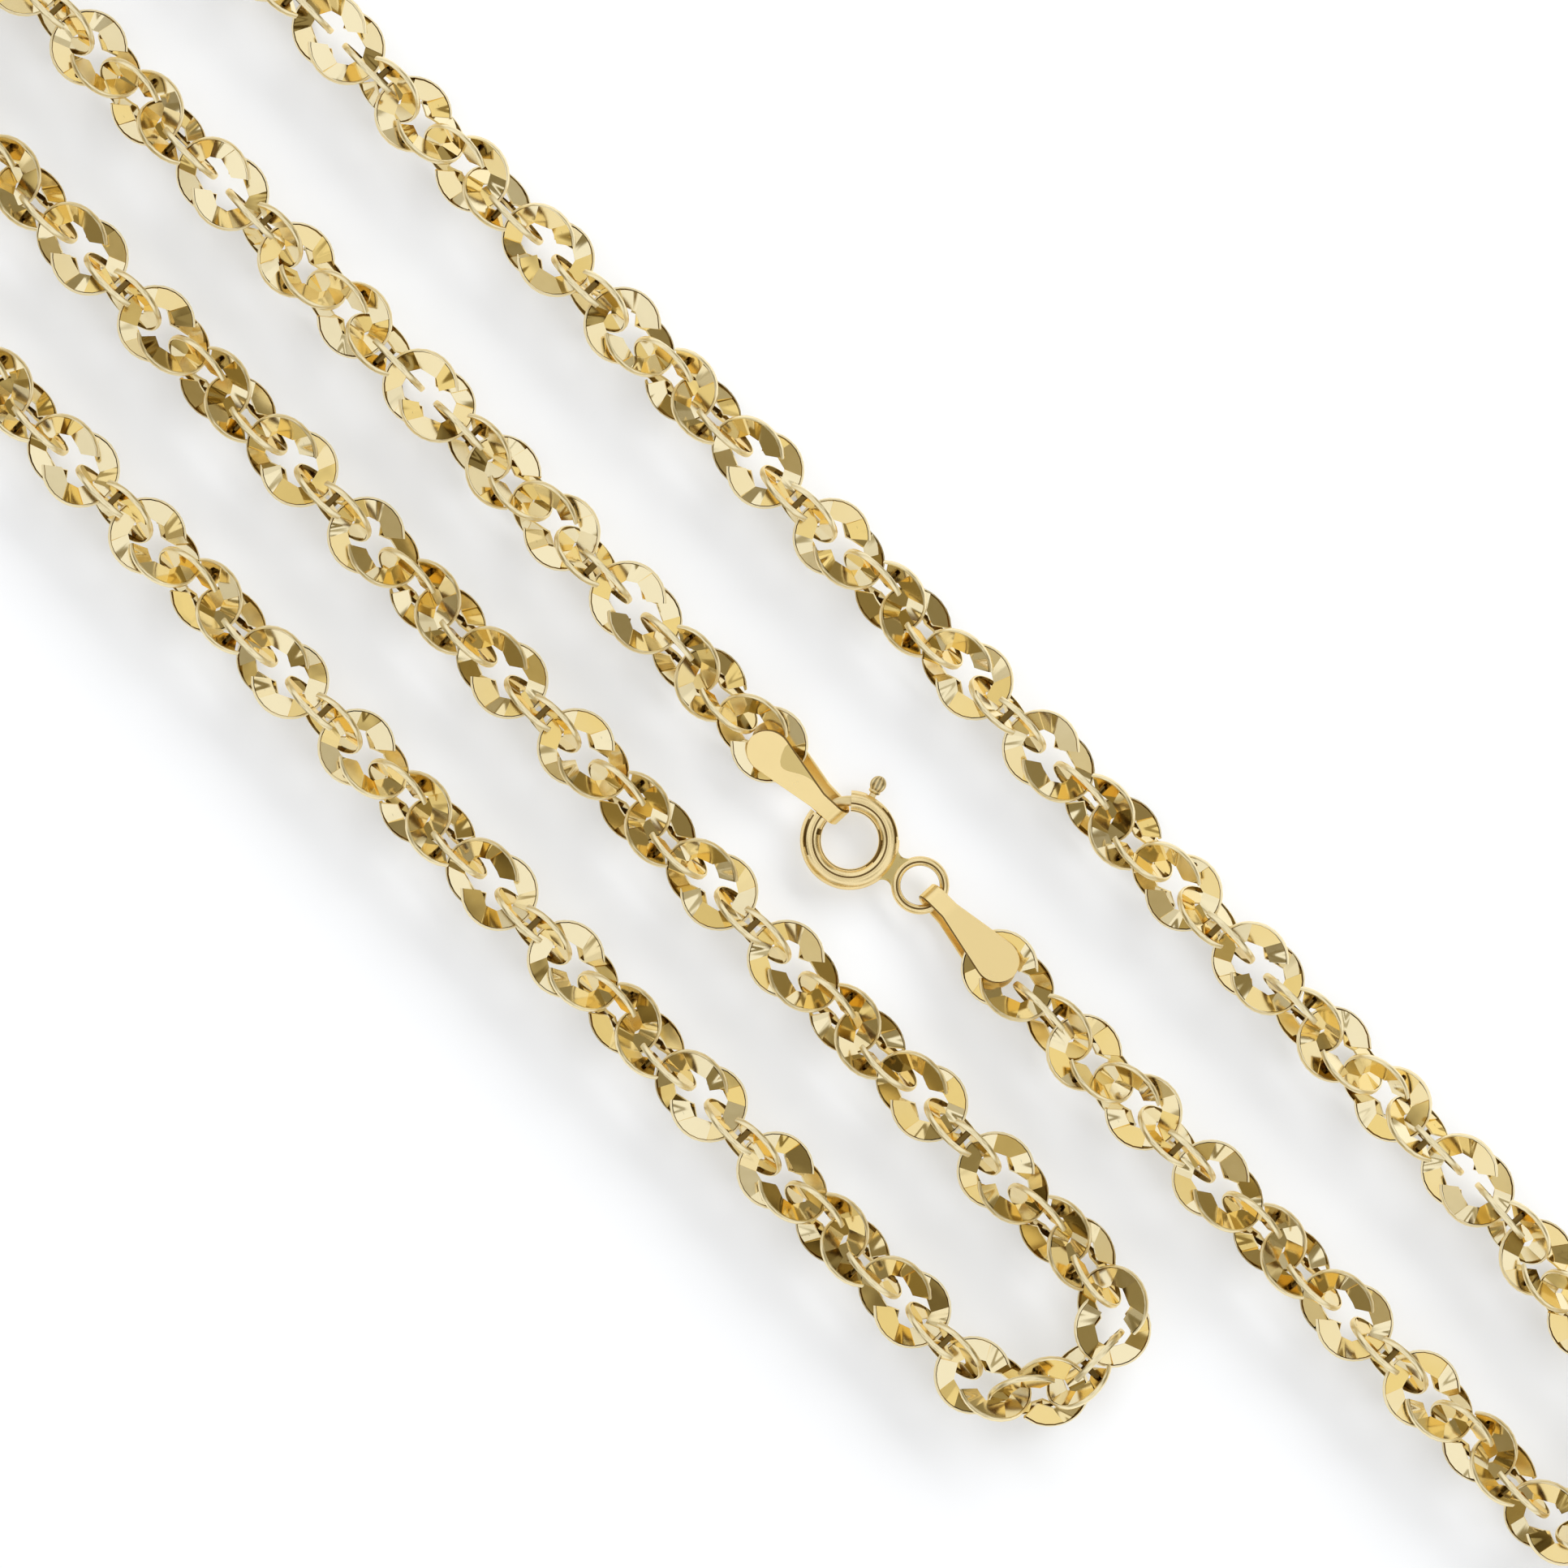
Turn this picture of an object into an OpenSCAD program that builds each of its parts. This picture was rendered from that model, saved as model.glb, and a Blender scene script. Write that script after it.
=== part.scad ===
// Rope-type neck chain of paired open rings, closed with a spring ring, lying flat in four rows.
// Millimetres. X runs along the rows, Y across them, Z up. The floor is at Z = 0.

/* [Link] */
// Outer diameter of each open ring of a link
ring_od = 4.4; // [4.3:0.05:4.45]
// Width of the ring's flat band, from its inner edge to its outer edge
band_w = 1.04; // [0.95:0.01:1.08]
// Thickness of the ring's flat band
band_t = 0.3; // [0.26:0.01:0.34]
// Distance between the centres of a link's two rings
ring_gap = 1.38; // [1.32:0.01:1.42]
// Turn between the planes of a link's two rings, in degrees
ring_turn = 36; // [32:1:40]
// Half of the angle over which each ring is open towards its partner, in degrees
open_half = 40; // [36:1:46]
// Radius of the solder posts that join a link's two rings
post_r = 0.18; // [0.15:0.01:0.22]

/* [Lay of the chain] */
// Distance from one link's centre to the next, used to count the links of a stretch
pitch = 3.345; // [3.3:0.005:3.4]
// Third row, from the clasp to its left end
row3_right = [2.45, 3.04]; // [2:0.01:4]
// Left end of the third row
row3_left = [-57.47, 3.74]; // [-58:0.01:4]
// First link of the left turn, from the third row to the second
left_turn_a = [-60.15, 2.04]; // [-61:0.01:3]
// Middle link of the left turn
left_turn_b = [-61.35, -0.78]; // [-62:0.01:0]
// Last link of the left turn
left_turn_c = [-60.5, -3.67]; // [-61:0.01:-3]
// Left end of the second row
row2_left = [-57.25, -4.53]; // [-58:0.01:-4]
// Right end of the second row
row2_right = [36.42, -4.91]; // [-5:0.01:37]
// First link of the right turn, from the second row to the first
right_turn_a = [39.46, -6.03]; // [-7:0.01:40]
// Middle link of the right turn
right_turn_b = [40.47, -9.03]; // [-10:0.01:41]
// Last link of the right turn
right_turn_c = [39.56, -12.03]; // [-13:0.01:40]
// Right end of the first row
row1_right = [36.91, -13.73]; // [-14:0.01:37]
// Link of the first row up to which its links lie pushed together
row1_loose = [20.98, -13.64]; // [-14:0.01:21]
// Left end of the first row
row1_left = [-55.84, -13.24]; // [-56:0.01:-13]
// Left end of the fourth row
row4_left = [-55.34, 14.01]; // [-56:0.01:15]
// Link of the fourth row where it starts to bend down
row4_bend = [51.5, 13.47]; // [13:0.01:52]
// Right end of the fourth row
row4_right = [64.05, 11.71]; // [11:0.01:65]
// First link of the far turn, from the fourth row back to the third
far_turn_a = [66.9, 10.34]; // [10:0.01:67]
// Middle link of the far turn
far_turn_b = [68.9, 7.89]; // [7:0.01:69]
// Last link of the far turn
far_turn_c = [67.65, 4.99]; // [4:0.01:68]
// Right end of the third row's other half
row3_far = [65.05, 3.34]; // [3:0.01:66]
// Highest link of that half
row3_top = [55.29, 3.34]; // [3:0.01:56]
// Last link of that half, next to the clasp
row3_mid = [21.87, 3.29]; // [3:0.01:22]
// Height of the chain's middle line above the floor
chain_z = 2.26; // [2.25:0.01:2.35]
// How far each end link lies below that line
end_drop = 0.56; // [0.5:0.01:0.6]

/* [Spring ring] */
// Middle of the spring ring
clasp_at = [10.15, 2.43]; // [2:0.01:11]
// Height of the spring ring's middle plane above the floor
clasp_z = 1.07; // [1.05:0.01:1.2]
// Radius of the spring ring's tube line
tube_line_r = 2.21; // [2.15:0.01:2.3]
// Outer radius of the tube
tube_r = 0.59; // [0.55:0.01:0.62]
// Radius of the tube's bore
bore_r = 0.37; // [0.36:0.01:0.4]
// Angle at which the tube's right mouth stands, in degrees
mouth_a = 133; // [130:1:134]
// Angle at which the tube's left mouth stands, in degrees
mouth_b = 186; // [185:1:190]
// Radius of the eyelet's wire line
eye_line_r = 1.37; // [1.3:0.01:1.4]
// Radius of the eyelet's wire
eye_wire_r = 0.27; // [0.22:0.01:0.3]
// Distance from the spring ring's middle to the eyelet's
eye_dist = 4.7; // [4.65:0.01:4.75]
// Direction of the eyelet seen from the spring ring's middle, in degrees
eye_dir = 12.3; // [8:0.1:16]

/* [Trigger] */
// Radius of the sliding bolt
bolt_r = 0.3; // [0.29:0.01:0.33]
// Angle at which the bolt's tip stands inside the left mouth, in degrees
bolt_tip = 191; // [189:1:194]
// Angle at which the bolt's tail stands, in degrees
bolt_tail = 99; // [96:1:101]
// Angle of the trigger's stem, in degrees
stem_a = 108; // [106:1:109]
// Radius of the stem
stem_r = 0.2; // [0.15:0.01:0.22]
// Radius of the knob
knob_r = 0.5; // [0.4:0.01:0.55]
// Distance from the spring ring's middle to the knob's
knob_dist = 3.52; // [3.5:0.01:3.6]
// How far the trigger turns back, in degrees
trigger_swing = 57; // [50:1:57]

/* [Tongues] */
// Radius of a tongue's round end
tongue_r = 1.28; // [1.2:0.01:1.3]
// Width of a tongue's strap where it is folded
strap_w = 1.12; // [1:0.01:1.14]
// Thickness of a tongue's sheet
sheet_t = 0.22; // [0.2:0.01:0.24]
// Half of the clear height inside the fold
fold_half = 0.66; // [0.65:0.01:0.67]
// Half of the clear height between the leaves
leaf_half = 0.76; // [0.75:0.01:0.78]
// Distance from the fold's middle at which the leaves turn level
crease_x = 0.95; // [0.8:0.05:1.1]
// Direction in which the ring-side tongue hangs on the bolt, in degrees
ring_fold_dir = 163; // [162:1:164]
// Direction in which the eyelet-side tongue hangs in the eyelet, in degrees
eye_fold_dir = 0; // [-2:1:2]
// How far a tongue's fold lies inwards of the bar it hangs on
fold_in = 0.08; // [0.06:0.01:0.1]
// Radius of the post that holds the end link between the leaves
rivet_r = 0.3; // [0.25:0.01:0.35]

/* [Hidden] */
$fn = 48;

ring_r = ring_od / 2;
mid_r = ring_r - band_w / 2;
half_turn_deg = ring_turn / 2;
gold = [0.93, 0.78, 0.45];
pale_gold = [0.93, 0.82, 0.56];
warm_gold = [0.87, 0.7, 0.42];

// Turn of the links about the chain's line, in degrees, at the stations where its rate changes.
twist = [
    [0, -24], [18, -1991], [22, -2436], [50, -5453], [54, -5918], [82, -8935],
    [95, -10371], [129, -13999], [135, -14589], [143, -15462], [146, -15806], [148, -16008]
];

function steps(len) = max(1, round(len / pitch));

// Link centres from a towards b, without b itself.
function along(a, b) =
    let (n = steps(norm(b - a)))
    [for (i = [0 : n - 1]) a + (b - a) * i / n];

// Link centres on the half circle from a round the left to b, without b itself.
function half_circle(a, b) =
    let (
        c = (a + b) / 2,
        r = norm(b - a) / 2,
        from = atan2(a[1] - c[1], a[0] - c[0]),
        n = steps(PI * r)
    )
    [for (i = [0 : n - 1]) c + r * [cos(from - 180 * i / n), sin(from - 180 * i / n)]];

lay = concat(
    along(row3_right, row3_left),
    [row3_left, left_turn_a, left_turn_b, left_turn_c],
    along(row2_left, row2_right),
    [row2_right, right_turn_a, right_turn_b, right_turn_c],
    along(row1_right, row1_loose),
    along(row1_loose, row1_left),
    half_circle(row1_left, row4_left),
    along(row4_left, row4_bend),
    along(row4_bend, row4_right),
    [row4_right, far_turn_a, far_turn_b, far_turn_c],
    along(row3_far, row3_top),
    along(row3_top, row3_mid),
    [row3_mid]
);
last = len(lay) - 1;

// The two points about which the tongues are folded.
function beside(at, r, dir) = [at[0] + r * cos(dir), at[1] + r * sin(dir), clasp_z];
eye_at = clasp_at + eye_dist * [cos(eye_dir), sin(eye_dir)];
ring_fold = beside(clasp_at, tube_line_r - fold_in, ring_fold_dir);
eye_fold = beside(eye_at, eye_line_r - fold_in, eye_fold_dir);

function height(i) = (i == 0 || i == last) ? chain_z - end_drop : chain_z;
function station(i) =
    i < 0 ? ring_fold
    : i > last ? eye_fold
    : [lay[i][0], lay[i][1], height(i)];
function unit(v) = v / norm(v);
function heading(i) = unit(station(i + 1) - station(i - 1));
function yaw(v) = atan2(v[1], v[0]);
function climb(v) = asin(v[2] / norm(v));

// Flat band bent to an open ring round Z, open towards +X.
module open_ring() {
    rotate([0, 0, open_half])
        rotate_extrude(angle = 360 - 2 * open_half)
            translate([ring_r - band_w, -band_t / 2])
                square([band_w, band_t]);
}

// One link: two open rings that face each other, turned apart and joined by two solder posts.
module link() {
    x = ring_gap / 2;
    reach = sqrt(mid_r * mid_r - x * x);
    post_y = reach * cos(half_turn_deg);
    post_z = reach * sin(half_turn_deg);
    translate([-x, 0, 0])
        rotate([half_turn_deg, 0, 0])
            open_ring();
    translate([x, 0, 0])
        rotate([-half_turn_deg, 0, 0])
            mirror([1, 0, 0])
                open_ring();
    for (side = [-1, 1])
        translate([0, side * post_y, -post_z])
            cylinder(r = post_r, h = 2 * post_z);
}

module link_at(i) {
    dir = heading(i);
    translate(station(i))
        rotate([lookup(i, twist), -climb(dir), yaw(dir)])
            link();
}

module chain() {
    color(gold)
        for (i = [0 : last])
            link_at(i);
}

// Round bar bent to an arc about Z.
module arc_bar(line_r, bar_r, from, to) {
    rotate([0, 0, from])
        rotate_extrude(angle = to - from)
            translate([line_r, 0])
                circle(r = bar_r);
}

// Web of solder between the spring ring and the eyelet, seen from above.
module web_outline() {
    difference() {
        polygon([
            [tube_line_r + 0.45, -0.9], [tube_line_r + 0.45, 0.9],
            [eye_dist - eye_line_r + 0.15, 0.68], [eye_dist - eye_line_r + 0.15, -0.68]
        ]);
        translate([eye_dist, 0])
            circle(r = eye_line_r - eye_wire_r / 2);
    }
}

module spring_ring() {
    slot_from = stem_a - trigger_swing - 6;
    slot_to = stem_a + 6;
    slot_half = stem_r + 0.05;
    color(warm_gold)
        translate([clasp_at[0], clasp_at[1], clasp_z])
            difference() {
                union() {
                    arc_bar(tube_line_r, tube_r, mouth_b, mouth_a + 360);
                    rotate([0, 0, eye_dir]) {
                        translate([0, 0, -0.2])
                            linear_extrude(0.4)
                                web_outline();
                        translate([eye_dist, 0, 0])
                            rotate_extrude()
                                translate([eye_line_r, 0])
                                    circle(r = eye_wire_r);
                    }
                }
                rotate_extrude()
                    translate([tube_line_r, 0])
                        circle(r = bore_r);
                rotate([0, 0, slot_from])
                    rotate_extrude(angle = slot_to - slot_from)
                        translate([tube_line_r + 0.1, -slot_half])
                            square([tube_r, 2 * slot_half]);
            }
}

module trigger() {
    color(warm_gold)
        translate([clasp_at[0], clasp_at[1], clasp_z]) {
            arc_bar(tube_line_r, bolt_r, bolt_tail, bolt_tip);
            rotate([0, 0, stem_a])
                translate([tube_line_r, 0, 0])
                    rotate([0, 90, 0])
                        cylinder(r = stem_r, h = knob_dist - tube_line_r);
            rotate([0, 0, stem_a])
                translate([knob_dist, 0, 0])
                    sphere(r = knob_r);
        }
}

// Plan of a tongue: strap at the origin, widening to a round end about [reach, 0].
module tongue_plan(reach) {
    lean = acos((tongue_r - strap_w / 2) / reach);
    translate([reach, 0])
        circle(r = tongue_r);
    polygon([
        [-1.2, -strap_w / 2], [crease_x, -strap_w / 2],
        [reach - tongue_r * cos(lean), -tongue_r * sin(lean)],
        [reach - tongue_r * cos(lean), tongue_r * sin(lean)],
        [crease_x, strap_w / 2], [-1.2, strap_w / 2]
    ]);
}

// Side view of a tongue: two leaves and the fold that joins them, in X and Z.
module tongue_side(reach) {
    difference() {
        union() {
            circle(r = fold_half + sheet_t);
            polygon([
                [0, -fold_half - sheet_t], [crease_x, -leaf_half - sheet_t],
                [reach + 2, -leaf_half - sheet_t], [reach + 2, leaf_half + sheet_t],
                [crease_x, leaf_half + sheet_t], [0, fold_half + sheet_t]
            ]);
        }
        circle(r = fold_half);
        polygon([
            [0, -fold_half], [crease_x, -leaf_half], [reach + 3, -leaf_half],
            [reach + 3, leaf_half], [crease_x, leaf_half], [0, fold_half]
        ]);
    }
}

// Tongue from its fold to the hole of the end link's ring. The round end stands short of it by back.
module tongue(fold, hole, roll, back) {
    dir = hole - fold;
    reach = norm(dir) - back;
    translate(fold)
        rotate([roll, -climb(dir), yaw(dir)]) {
            intersection() {
                translate([0, 0, -2])
                    linear_extrude(4)
                        tongue_plan(reach);
                rotate([90, 0, 0])
                    translate([0, 0, -2])
                        linear_extrude(4)
                            tongue_side(reach);
            }
            translate([reach + back, 0, -leaf_half - sheet_t / 2])
                cylinder(r = rivet_r, h = 2 * leaf_half + sheet_t);
        }
}

module tongue_ring_side() {
    color(pale_gold)
        tongue(ring_fold, station(0) - heading(0) * ring_gap / 2, -20, 0.18);
}

module tongue_eyelet_side() {
    color(pale_gold)
        tongue(eye_fold, station(last) + heading(last) * ring_gap / 2, -12, 0.35);
}

chain();
spring_ring();
trigger();
tongue_ring_side();
tongue_eyelet_side();
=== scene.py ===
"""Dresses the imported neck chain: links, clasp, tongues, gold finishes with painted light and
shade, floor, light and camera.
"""

import math

import bpy
import numpy as np
from mathutils import Matrix, Vector


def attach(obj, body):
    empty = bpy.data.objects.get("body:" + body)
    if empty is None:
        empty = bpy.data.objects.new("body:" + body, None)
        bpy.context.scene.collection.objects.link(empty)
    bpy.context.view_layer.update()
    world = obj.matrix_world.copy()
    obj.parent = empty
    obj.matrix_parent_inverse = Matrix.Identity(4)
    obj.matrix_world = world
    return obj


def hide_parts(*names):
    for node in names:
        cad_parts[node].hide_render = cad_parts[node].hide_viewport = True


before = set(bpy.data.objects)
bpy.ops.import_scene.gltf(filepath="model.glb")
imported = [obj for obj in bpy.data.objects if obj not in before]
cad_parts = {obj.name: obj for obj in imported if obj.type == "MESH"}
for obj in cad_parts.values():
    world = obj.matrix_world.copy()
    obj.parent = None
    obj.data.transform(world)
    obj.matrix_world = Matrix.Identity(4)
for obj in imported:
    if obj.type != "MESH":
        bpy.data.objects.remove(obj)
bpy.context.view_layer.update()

bl_info = {
    "name": "Rope-type neck chain",
    "version": (1, 0, 0),
    "blender": (4, 5, 0),
    "location": "View3D > Sidebar > Neck chain",
    "description": "Builds a flat-laid neck chain of paired open rings with a spring ring",
    "category": "Object",
}

MM = 0.001

# Places of the laid chain's links and of the clasp, in millimetres, and directions in degrees,
# as in the part's source.
PITCH = 3.345
ROW3_RIGHT, ROW3_LEFT = (2.45, 3.04), (-57.47, 3.74)
LEFT_TURN = (ROW3_LEFT, (-60.15, 2.04), (-61.35, -0.78), (-60.5, -3.67))
ROW2_LEFT, ROW2_RIGHT = (-57.25, -4.53), (36.42, -4.91)
RIGHT_TURN = (ROW2_RIGHT, (39.46, -6.03), (40.47, -9.03), (39.56, -12.03))
ROW1_RIGHT, ROW1_LOOSE, ROW1_LEFT = (36.91, -13.73), (20.98, -13.64), (-55.84, -13.24)
ROW4_LEFT, ROW4_BEND, ROW4_RIGHT = (-55.34, 14.01), (51.5, 13.47), (64.05, 11.71)
FAR_TURN = (ROW4_RIGHT, (66.9, 10.34), (68.9, 7.89), (67.65, 4.99))
ROW3_FAR, ROW3_TOP, ROW3_MID = (65.05, 3.34), (55.29, 3.34), (21.87, 3.29)
CHAIN_Z, END_DROP = 2.26, 0.56
CLASP_AT, CLASP_Z = (10.15, 2.43), 1.07
LINE_R, EYE_LINE_R, EYE_WIRE_R, FOLD_IN = 2.21, 1.37, 0.27, 0.08
EYE_DIST, EYE_DIR = 4.7, 12.3
RING_FOLD_DIR, EYE_FOLD_DIR = 163, 0

# Turn of the links about the chain's line: number of the link, and degrees.
TWIST = (
    (0, -24), (18, -1991), (22, -2436), (50, -5453), (54, -5918), (82, -8935),
    (95, -10371), (129, -13999), (135, -14589), (143, -15462), (146, -15806), (148, -16008),
)

# Values of the faces' "facet" attribute: a dark line of painted shade and painted reflection,
# and a plain face. 0 to 1 is a tone of painted light and shade. Then the limits by which a
# finish tells them apart.
DARK, PLAIN = -1, 2
DARK_BELOW, PLAIN_ABOVE = -0.5, 1.5

# Cut facets round a ring: share of the arc, slopes along the band and outwards in parts of the
# facet tilt, and tone, the facet's painted light and shade.
FACET_CUTS = (
    (1.25, 0.25, 0.35, 0.92), (0.75, -1.5, 0.5, 0.06), (1.1, 0.3, -0.4, 0.66),
    (0.8, 1.2, 0.3, 0.3), (1.2, -0.35, 0.4, 0.8), (0.9, -0.8, -0.7, 0.48),
)
# Shift of the painted light and shade tones on a ring's back, and from one link to the next.
BACK_TONE, LINK_TONE = 0.43, 0.29
# Stations along a facet, lean of its borders and tolerance at the ring's end, both in radians.
FACET_STATIONS, FACET_LEAN, AT_END = 5, 0.11, 0.001

# Cross-section of a link's band, in millimetres, but the rim's shoulder in parts of its half
# height. Then the radius and the sides of a solder post.
RIM_RAISE, RIM_WIDTH, RIM_BEVEL, RIM_ROUND, RIM_SHOULDER = 0.02, 0.17, 0.05, 0.01, 0.6
GROOVE_WIDTH, FACET_DEPTH, INNER_REACH = 0.05, 0.105, 0.08
POST_R, POST_SIDES = 0.18, 8
# Strips of that cross-section: the facets in front and behind, the grooves, painted dark as
# shade, and the round rim.
FRONT_STRIP, BACK_STRIP, GROOVE_STRIPS, RIM_STRIPS = 1, 10, (2, 9), range(3, 9)

# Rounded end of a bent bar: distance beyond the bar's end and size, in parts of its radius.
ROUNDED_END = ((1, 0.05), (0.8, 0.6))

# Finish of the gold: share of its tone, painted light and shade, that a face picks itself and
# share that drifts, smallest and largest roughness in parts of the finish's own, grain of the
# scratches and their depth.
OWN_TONE, DRIFT_TONE = 0.85, 0.15
SMOOTHEST, ROUGHEST = 0.85, 1.2
SCRATCH_GRAIN, SCRATCH_DEPTH = 6, 0.00002
# Colours of the gold's glint, its dark lines of painted shade and painted reflection, and its
# painted shaded and middle tones.
GOLD_GLINT = (1, 0.86, 0.6, 1)
LINK_LINE, CLASP_LINE, PLATE_LINE = (0.16, 0.1, 0.028), (0.18, 0.11, 0.035), (0.24, 0.15, 0.05)
CLASP_SHADE, CLASP_MIDDLE, PLATE_SHADE = (0.66, 0.53, 0.22), (0.78, 0.64, 0.3), (0.7, 0.54, 0.22)

# Dark cards of the studio: direction, inner and outer angle in degrees, brightness.
STUDIO_CARDS = (
    ((0, 0, 1), 5, 8, 0.3),
    ((0.7, 0.7, 0.25), 16, 26, 0.1),
    ((-0.7, -0.7, 0.25), 16, 26, 0.1),
    ((0.3, 0.5, 0.81), 8, 10, 0.12),
    ((-0.35, 0.62, 0.7), 6, 8, 0.26),
    ((-0.3, -0.5, 0.81), 8, 10, 0.12),
    ((0.45, -0.78, 0.44), 8, 10, 0.16),
    ((-0.1, 0.3, 0.95), 5, 7, 0.36),
    ((0.15, -0.3, 0.94), 5, 7, 0.3),
    ((0, 0.93, 0.36), 12, 18, 0.14),
    ((0, -0.95, 0.3), 12, 18, 0.14),
    ((-0.5, 0.1, 0.86), 7, 9, 0.16),
    ((0.55, -0.15, 0.82), 7, 9, 0.14),
)
# Rise of the studio's brightness from the horizon up.
STUDIO_RISE = {"From_Min": 0.02, "From_Max": 0.3, "To_Min": 0.3, "To_Max": 0.95}
# Colours of the studio from dark to bright: the dark parts are warm, as other gold would be.
STUDIO_TINTS = (
    (0, (0, 0, 0)), (0.13, (0.23, 0.18, 0.078)), (0.4, (0.46, 0.41, 0.29)),
    (0.95, (0.95, 0.95, 0.95)),
)

# Key light, camera and floor, in metres, watts, millimetres of film and degrees.
KEY_AT, KEY_SIZE, KEY_POWER = (0.03, 0.57, 0.345), (0.9, 0.26), 5
CAMERA_AT, CAMERA_TURN = (0.0053, 0.00205, 0.452), 45
LENS, FILM, CLIP = 184, 36, (0.01, 20)
FLOOR_HALF, FLOOR_ROUGHNESS, FLOOR_GRAIN, FLOOR_DRIFT = 1.2, 0.6, 6, 0.985
FLOOR_GLOW, GLOW_STRENGTH = (0.985, 0.99, 1, 1), 0.38


class LinkSizes(bpy.types.PropertyGroup):
    ring_diameter: bpy.props.FloatProperty(
        name="Ring diameter", description="Outer diameter of each open ring of a link",
        default=4.4 * MM, unit="LENGTH", precision=5)
    band_width: bpy.props.FloatProperty(
        name="Band width", description="Width of the ring's flat band",
        default=1.04 * MM, unit="LENGTH", precision=5)
    band_thickness: bpy.props.FloatProperty(
        name="Band thickness", description="Thickness of the ring's flat band",
        default=0.3 * MM, unit="LENGTH", precision=5)
    ring_gap: bpy.props.FloatProperty(
        name="Ring distance", description="Distance between the centres of a link's two rings",
        default=1.38 * MM, unit="LENGTH", precision=5)
    ring_turn: bpy.props.FloatProperty(
        name="Ring turn", description="Turn between the planes of a link's two rings",
        default=math.radians(36), subtype="ANGLE")
    open_half: bpy.props.FloatProperty(
        name="Opening", description="Half of the angle over which each ring is open",
        default=math.radians(40), subtype="ANGLE")
    facet_tilt: bpy.props.FloatProperty(
        name="Facet tilt", description="Tilt of a cut facet of slope 1",
        default=math.radians(8), subtype="ANGLE")


class ClaspSizes(bpy.types.PropertyGroup):
    line_radius: bpy.props.FloatProperty(
        name="Tube line radius", description="Radius of the spring ring's tube line",
        default=LINE_R * MM, unit="LENGTH", precision=5)
    tube_radius: bpy.props.FloatProperty(
        name="Tube radius", description="Outer radius of the spring ring's tube",
        default=0.59 * MM, unit="LENGTH", precision=5)
    bore_radius: bpy.props.FloatProperty(
        name="Bore radius", description="Radius of the tube's bore",
        default=0.37 * MM, unit="LENGTH", precision=5)
    bolt_radius: bpy.props.FloatProperty(
        name="Bolt radius", description="Radius of the sliding bolt",
        default=0.3 * MM, unit="LENGTH", precision=5)
    knob_radius: bpy.props.FloatProperty(
        name="Knob radius", description="Radius of the trigger's knob",
        default=0.5 * MM, unit="LENGTH", precision=5)
    sheet: bpy.props.FloatProperty(
        name="Tongue sheet", description="Thickness of the tongues' sheet",
        default=0.22 * MM, unit="LENGTH", precision=5)


class GoldColours(bpy.types.PropertyGroup):
    # Bright, deep and shaded gold are the stops of the links' painted light and shade.
    bright: bpy.props.FloatVectorProperty(
        name="Bright gold", description="Lighter tone of the links' gold", subtype="COLOR",
        default=(0.97, 0.855, 0.56), min=0, max=1)
    deep: bpy.props.FloatVectorProperty(
        name="Deep gold", description="Deeper tone of the links' gold", subtype="COLOR",
        default=(0.9, 0.68, 0.25), min=0, max=1)
    shade: bpy.props.FloatVectorProperty(
        name="Shaded gold", description="Tone of the facets that catch no light", subtype="COLOR",
        default=(0.3, 0.21, 0.065), min=0, max=1)
    clasp: bpy.props.FloatVectorProperty(
        name="Clasp gold", description="Gold of the spring ring and its trigger", subtype="COLOR",
        default=(0.98, 0.8, 0.44), min=0, max=1)
    plate: bpy.props.FloatVectorProperty(
        name="Plate gold", description="Gold of the two tongues", subtype="COLOR",
        default=(0.98, 0.78, 0.385), min=0, max=1)
    floor: bpy.props.FloatVectorProperty(
        name="Floor", description="Colour of the surface the chain lies on", subtype="COLOR",
        default=(0.562, 0.578, 0.604), min=0, max=1)


class ChainSettings(bpy.types.PropertyGroup):
    links: bpy.props.PointerProperty(type=LinkSizes, name="Links")
    clasp: bpy.props.PointerProperty(type=ClaspSizes, name="Clasp")
    colours: bpy.props.PointerProperty(type=GoldColours, name="Colours")


# Lay of the chain

def steps(length):
    """Number of links that fit a stretch of the chain."""
    return max(1, math.floor(length / PITCH + 0.5))


def along(a, b):
    """Link centres from a towards b, without b."""
    a, b = np.array(a), np.array(b)
    n = steps(np.linalg.norm(b - a))
    return [a + (b - a) * i / n for i in range(n)]


def half_circle(a, b):
    """Link centres on the half circle from a round the left to b, without b."""
    a, b = np.array(a), np.array(b)
    middle, reach = (a + b) / 2, np.linalg.norm(b - a) / 2
    start = math.atan2(a[1] - middle[1], a[0] - middle[0])
    n = steps(math.pi * reach)
    turns = start - math.pi * np.arange(n) / n
    return [middle + reach * np.array([math.cos(t), math.sin(t)]) for t in turns]


def beside(at, radius, direction):
    """Point at this distance and direction in degrees from another, at the clasp's height."""
    a = math.radians(direction)
    return np.array([at[0] + radius * math.cos(a), at[1] + radius * math.sin(a), CLASP_Z])


def fold_points():
    """The points about which the two tongues are folded."""
    eyelet = beside(CLASP_AT, EYE_DIST, EYE_DIR)
    return (beside(CLASP_AT, LINE_R - FOLD_IN, RING_FOLD_DIR),
            beside(eyelet, EYE_LINE_R - FOLD_IN, EYE_FOLD_DIR))


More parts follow.
